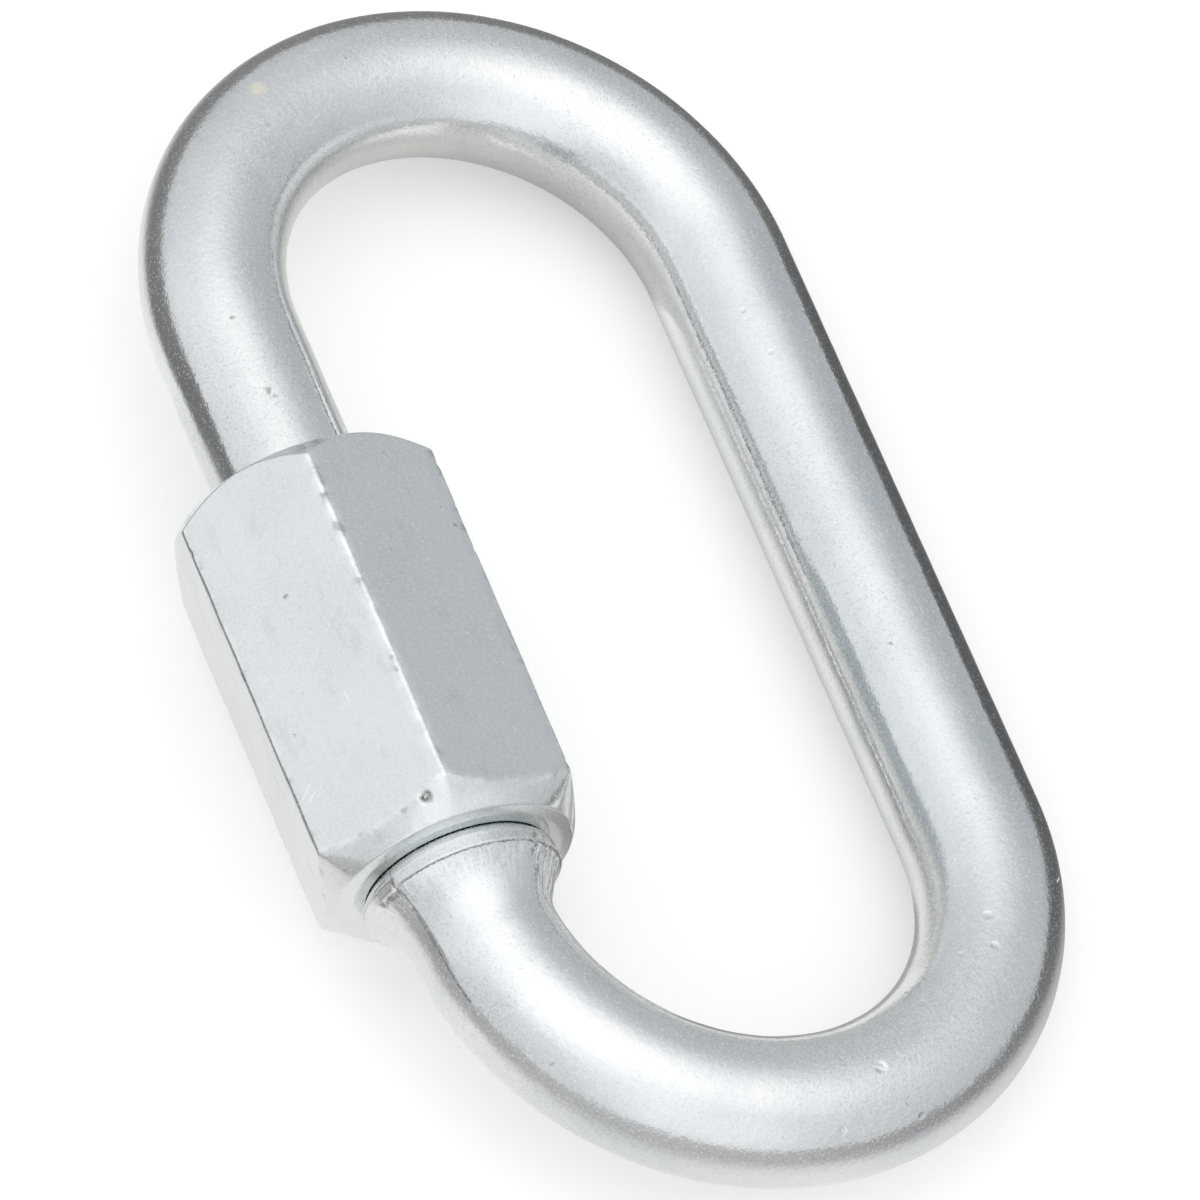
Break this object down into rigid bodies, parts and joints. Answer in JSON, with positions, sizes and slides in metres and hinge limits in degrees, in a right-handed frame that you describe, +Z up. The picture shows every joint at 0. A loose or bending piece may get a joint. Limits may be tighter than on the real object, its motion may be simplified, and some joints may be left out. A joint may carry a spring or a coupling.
{
  "type": "chain quick link",
  "caption": "Oval chain quick link of bent round rod, its open side closed by a hexagonal sleeve nut that screws across the gate to join chain, rope or fittings.",
  "frame": {"origin": "middle of the lying link's box, on the surface that it lies on", "axes": "+X along the link towards its collared leg, +Z up from the surface, the sleeve nut on the -Y side"},
  "size_m": [0.0744, 0.041, 0.0162],
  "materials": {
    "zinc_rod": "bright zinc plate on bent rod, satin",
    "zinc_nut": "bright zinc plate on drawn hexagon bar, satin"
  },
  "bodies": {
    "link": {"link_body": "zinc_rod"},
    "nut": {"sleeve_nut": "zinc_nut"}
  },
  "joints": [
    {"name": "nut_travel", "type": "slide", "parent": "link", "child": "nut", "axis": [-1, 0, 0], "range_m": [0, 0.015]}
  ]
}
